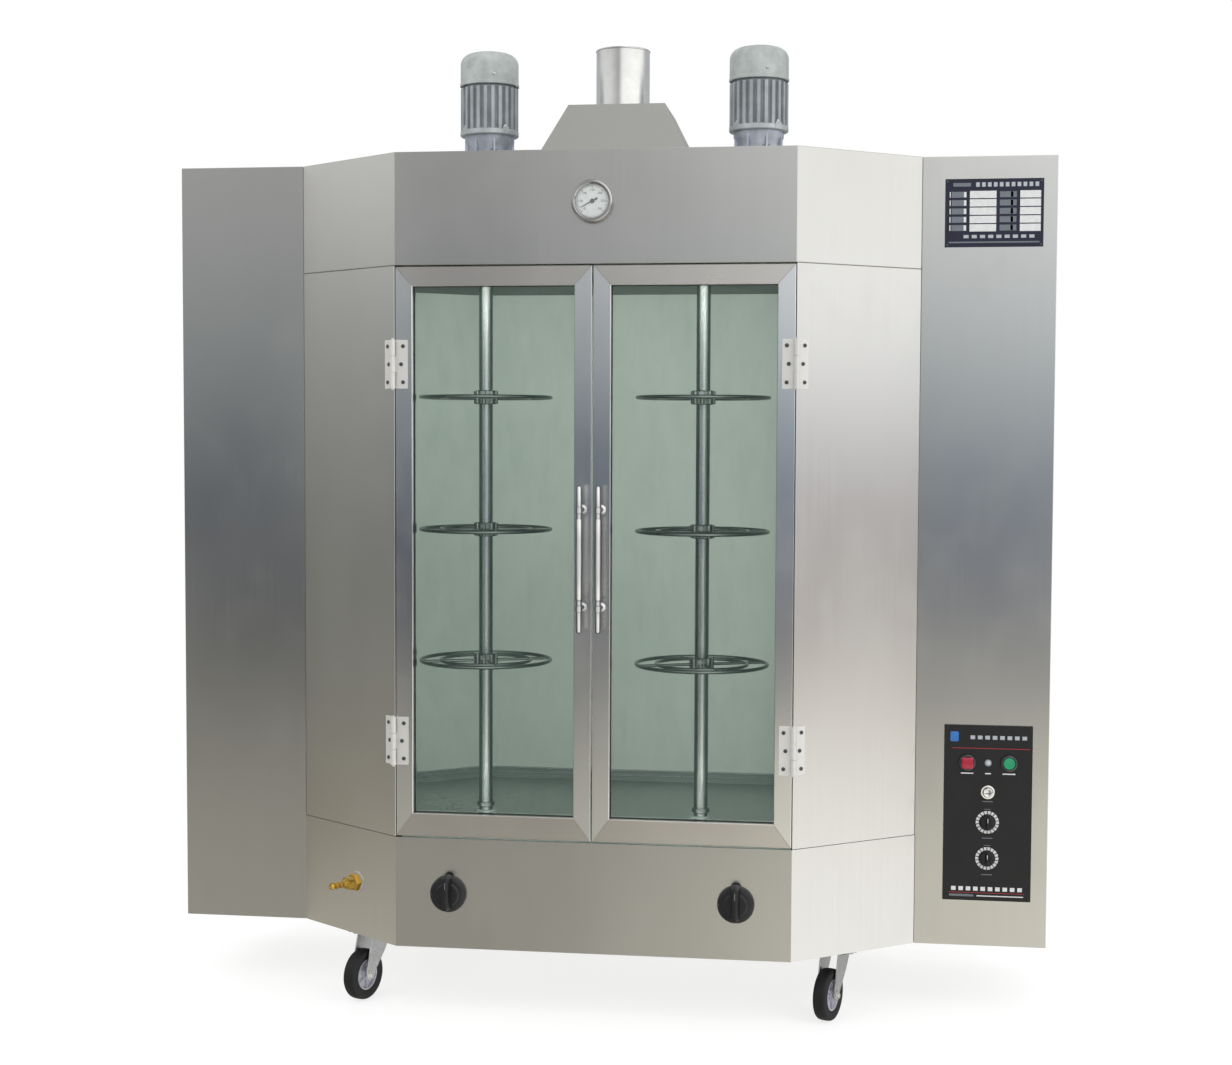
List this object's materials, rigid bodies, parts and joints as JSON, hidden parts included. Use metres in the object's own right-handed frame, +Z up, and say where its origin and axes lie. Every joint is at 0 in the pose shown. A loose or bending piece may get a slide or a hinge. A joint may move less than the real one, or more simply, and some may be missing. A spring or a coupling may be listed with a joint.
{
  "type": "rotisserie oven",
  "caption": "Upright roasting cabin with glazed double doors, turning spits with ring carriers, roof motors and flue, gas knobs and side service boxes, on casters.",
  "frame": {"origin": "on the floor under the centre of the whole oven's box", "axes": "+Z up, +X to the right of someone facing the doors, -Y toward that person"},
  "size_m": [1.876, 0.9522, 2.083],
  "materials": {
    "brushed_sheet": "brushed stainless sheet",
    "polished_steel": "polished stainless",
    "rod_steel": "stainless rod",
    "hinge_steel": "pressed and plated",
    "door_glass": "clear tempered glass with a green edge",
    "motor_casing": "grey-green paint over castings",
    "motor_cowl": "smooth grey-green paint",
    "dark_case": "dark paint",
    "black_plastic": "gloss black moulding",
    "brass": "turned brass",
    "gauge_steel": "polished bezel and white dial",
    "needle_black": "black paint",
    "panel_black": "printed black panel",
    "red_button": "gloss red",
    "green_button": "gloss green",
    "lamp_lens": "clear white lens",
    "plate_blue": "printed dark plate",
    "zinc": "zinc plated pressing",
    "tyre_black": "solid rubber tyre on a grey hub",
    "burner_iron": "heat-stained steel"
  },
  "bodies": {
    "cabin": {"base_cabinet": "brushed_sheet", "cabin_wall": "brushed_sheet", "roof_fascia": "brushed_sheet", "cabin_ceiling": "brushed_sheet", "drip_tray": "brushed_sheet", "flue_hood": "brushed_sheet", "flue_pipe": "polished_steel", "left_side_box": "brushed_sheet", "left_motor": "motor_casing", "left_motor_cowl": "motor_cowl", "left_chain_case": "dark_case", "left_upper_hinge_cabin": "hinge_steel", "left_lower_hinge_cabin": "hinge_steel", "left_burner": "burner_iron", "right_side_box": "brushed_sheet", "right_motor": "motor_casing", "right_motor_cowl": "motor_cowl", "right_chain_case": "dark_case", "right_upper_hinge_cabin": "hinge_steel", "right_lower_hinge_cabin": "hinge_steel", "right_burner": "burner_iron", "gas_inlet": "brass", "gauge_case": "gauge_steel", "control_panel": "panel_black", "power_lamp": "lamp_lens", "rating_plate": "plate_blue"},
    "left_door": {"left_door_frame": "brushed_sheet", "left_door_glass": "door_glass", "left_door_handle": "polished_steel", "left_upper_hinge_door": "hinge_steel", "left_lower_hinge_door": "hinge_steel"},
    "left_spit_set": {"left_spit": "polished_steel", "left_top_carrier": "rod_steel", "left_middle_carrier": "rod_steel", "left_bottom_carrier": "rod_steel"},
    "left_tap": {"left_burner_knob": "black_plastic"},
    "right_door": {"right_door_frame": "brushed_sheet", "right_door_glass": "door_glass", "right_door_handle": "polished_steel", "right_upper_hinge_door": "hinge_steel", "right_lower_hinge_door": "hinge_steel"},
    "right_spit_set": {"right_spit": "polished_steel", "right_top_carrier": "rod_steel", "right_middle_carrier": "rod_steel", "right_bottom_carrier": "rod_steel"},
    "right_tap": {"right_burner_knob": "black_plastic"},
    "needle": {"gauge_needle": "needle_black"},
    "stop_button_cap": {"stop_button": "red_button"},
    "start_button_cap": {"start_button": "green_button"},
    "lamp_switch_cap": {"lamp_switch": "polished_steel"},
    "upper_dial_knob": {"upper_dial": "black_plastic"},
    "lower_dial_knob": {"lower_dial": "black_plastic"},
    "front_left_fork": {"front_left_caster_fork": "zinc"},
    "front_left_wheel": {"front_left_caster_wheel": "tyre_black"},
    "front_right_fork": {"front_right_caster_fork": "zinc"},
    "front_right_wheel": {"front_right_caster_wheel": "tyre_black"},
    "rear_left_fork": {"rear_left_caster_fork": "zinc"},
    "rear_left_wheel": {"rear_left_caster_wheel": "tyre_black"},
    "rear_right_fork": {"rear_right_caster_fork": "zinc"},
    "rear_right_wheel": {"rear_right_caster_wheel": "tyre_black"}
  },
  "joints": [
    {"name": "left_door_swing", "type": "hinge", "parent": "cabin", "child": "left_door", "pos_m": [-0.41525, -0.4307, 0.97], "axis": [0, 0, -1], "range_deg": [0, 120]},
    {"name": "left_spit_turn", "type": "hinge", "parent": "cabin", "child": "left_spit_set", "pos_m": [-0.2665, -0.2039, 0.97], "axis": [0, 0, 1], "continuous": true},
    {"name": "left_burner_knob_turn", "type": "hinge", "parent": "cabin", "child": "left_tap", "pos_m": [-0.3, -0.4239, 0.2655], "axis": [0, -1, 0], "range_deg": [0, 180]},
    {"name": "right_door_swing", "type": "hinge", "parent": "cabin", "child": "right_door", "pos_m": [0.41525, -0.4307, 0.97], "axis": [0, 0, 1], "range_deg": [0, 120]},
    {"name": "right_spit_turn", "type": "hinge", "parent": "cabin", "child": "right_spit_set", "pos_m": [0.2065, -0.2039, 0.97], "axis": [0, 0, 1], "continuous": true},
    {"name": "right_burner_knob_turn", "type": "hinge", "parent": "cabin", "child": "right_tap", "pos_m": [0.3, -0.4239, 0.2655], "axis": [0, -1, 0], "range_deg": [0, 180]},
    {"name": "gauge_needle_turn", "type": "hinge", "parent": "cabin", "child": "needle", "pos_m": [0, -0.4239, 1.694], "axis": [0, 1, 0], "range_deg": [-17, 253]},
    {"name": "stop_button_push", "type": "slide", "parent": "cabin", "child": "stop_button_cap", "axis": [0, 1, 0], "range_m": [0, 0.003], "stiffness_N_per_m": 300},
    {"name": "start_button_push", "type": "slide", "parent": "cabin", "child": "start_button_cap", "axis": [0, 1, 0], "range_m": [0, 0.003], "stiffness_N_per_m": 300},
    {"name": "lamp_switch_push", "type": "slide", "parent": "cabin", "child": "lamp_switch_cap", "axis": [0, 1, 0], "range_m": [0, 0.002], "stiffness_N_per_m": 300},
    {"name": "upper_dial_turn", "type": "hinge", "parent": "cabin", "child": "upper_dial_knob", "pos_m": [0.81335, -0.2412, 0.4135], "axis": [0, 1, 0], "range_deg": [0, 300]},
    {"name": "lower_dial_turn", "type": "hinge", "parent": "cabin", "child": "lower_dial_knob", "pos_m": [0.81335, -0.2412, 0.337], "axis": [0, 1, 0], "range_deg": [0, 300]},
    {"name": "front_left_caster_swivel", "type": "hinge", "parent": "cabin", "child": "front_left_fork", "pos_m": [-0.5, -0.2739, 0.145], "axis": [0, 0, 1], "continuous": true},
    {"name": "front_left_wheel_roll", "type": "hinge", "parent": "front_left_fork", "child": "front_left_wheel", "pos_m": [-0.51498, -0.31099, 0.054], "axis": [0.9272, -0.3746, 0], "continuous": true},
    {"name": "front_right_caster_swivel", "type": "hinge", "parent": "cabin", "child": "front_right_fork", "pos_m": [0.5, -0.2739, 0.145], "axis": [0, 0, 1], "continuous": true},
    {"name": "front_right_wheel_roll", "type": "hinge", "parent": "front_right_fork", "child": "front_right_wheel", "pos_m": [0.48632, -0.31149, 0.054], "axis": [0.9397, -0.342, 0], "continuous": true},
    {"name": "rear_left_caster_swivel", "type": "hinge", "parent": "cabin", "child": "rear_left_fork", "pos_m": [-0.5, 0.3261, 0.145], "axis": [0, 0, 1], "continuous": true},
    {"name": "rear_left_wheel_roll", "type": "hinge", "parent": "rear_left_fork", "child": "rear_left_wheel", "pos_m": [-0.48, 0.36074, 0.054], "axis": [-0.866, 0.5, 0], "continuous": true},
    {"name": "rear_right_caster_swivel", "type": "hinge", "parent": "cabin", "child": "rear_right_fork", "pos_m": [0.5, 0.3261, 0.145], "axis": [0, 0, 1], "continuous": true},
    {"name": "rear_right_wheel_roll", "type": "hinge", "parent": "rear_right_fork", "child": "rear_right_wheel", "pos_m": [0.48897, 0.36455, 0.054], "axis": [-0.9613, -0.2756, 0], "continuous": true}
  ]
}
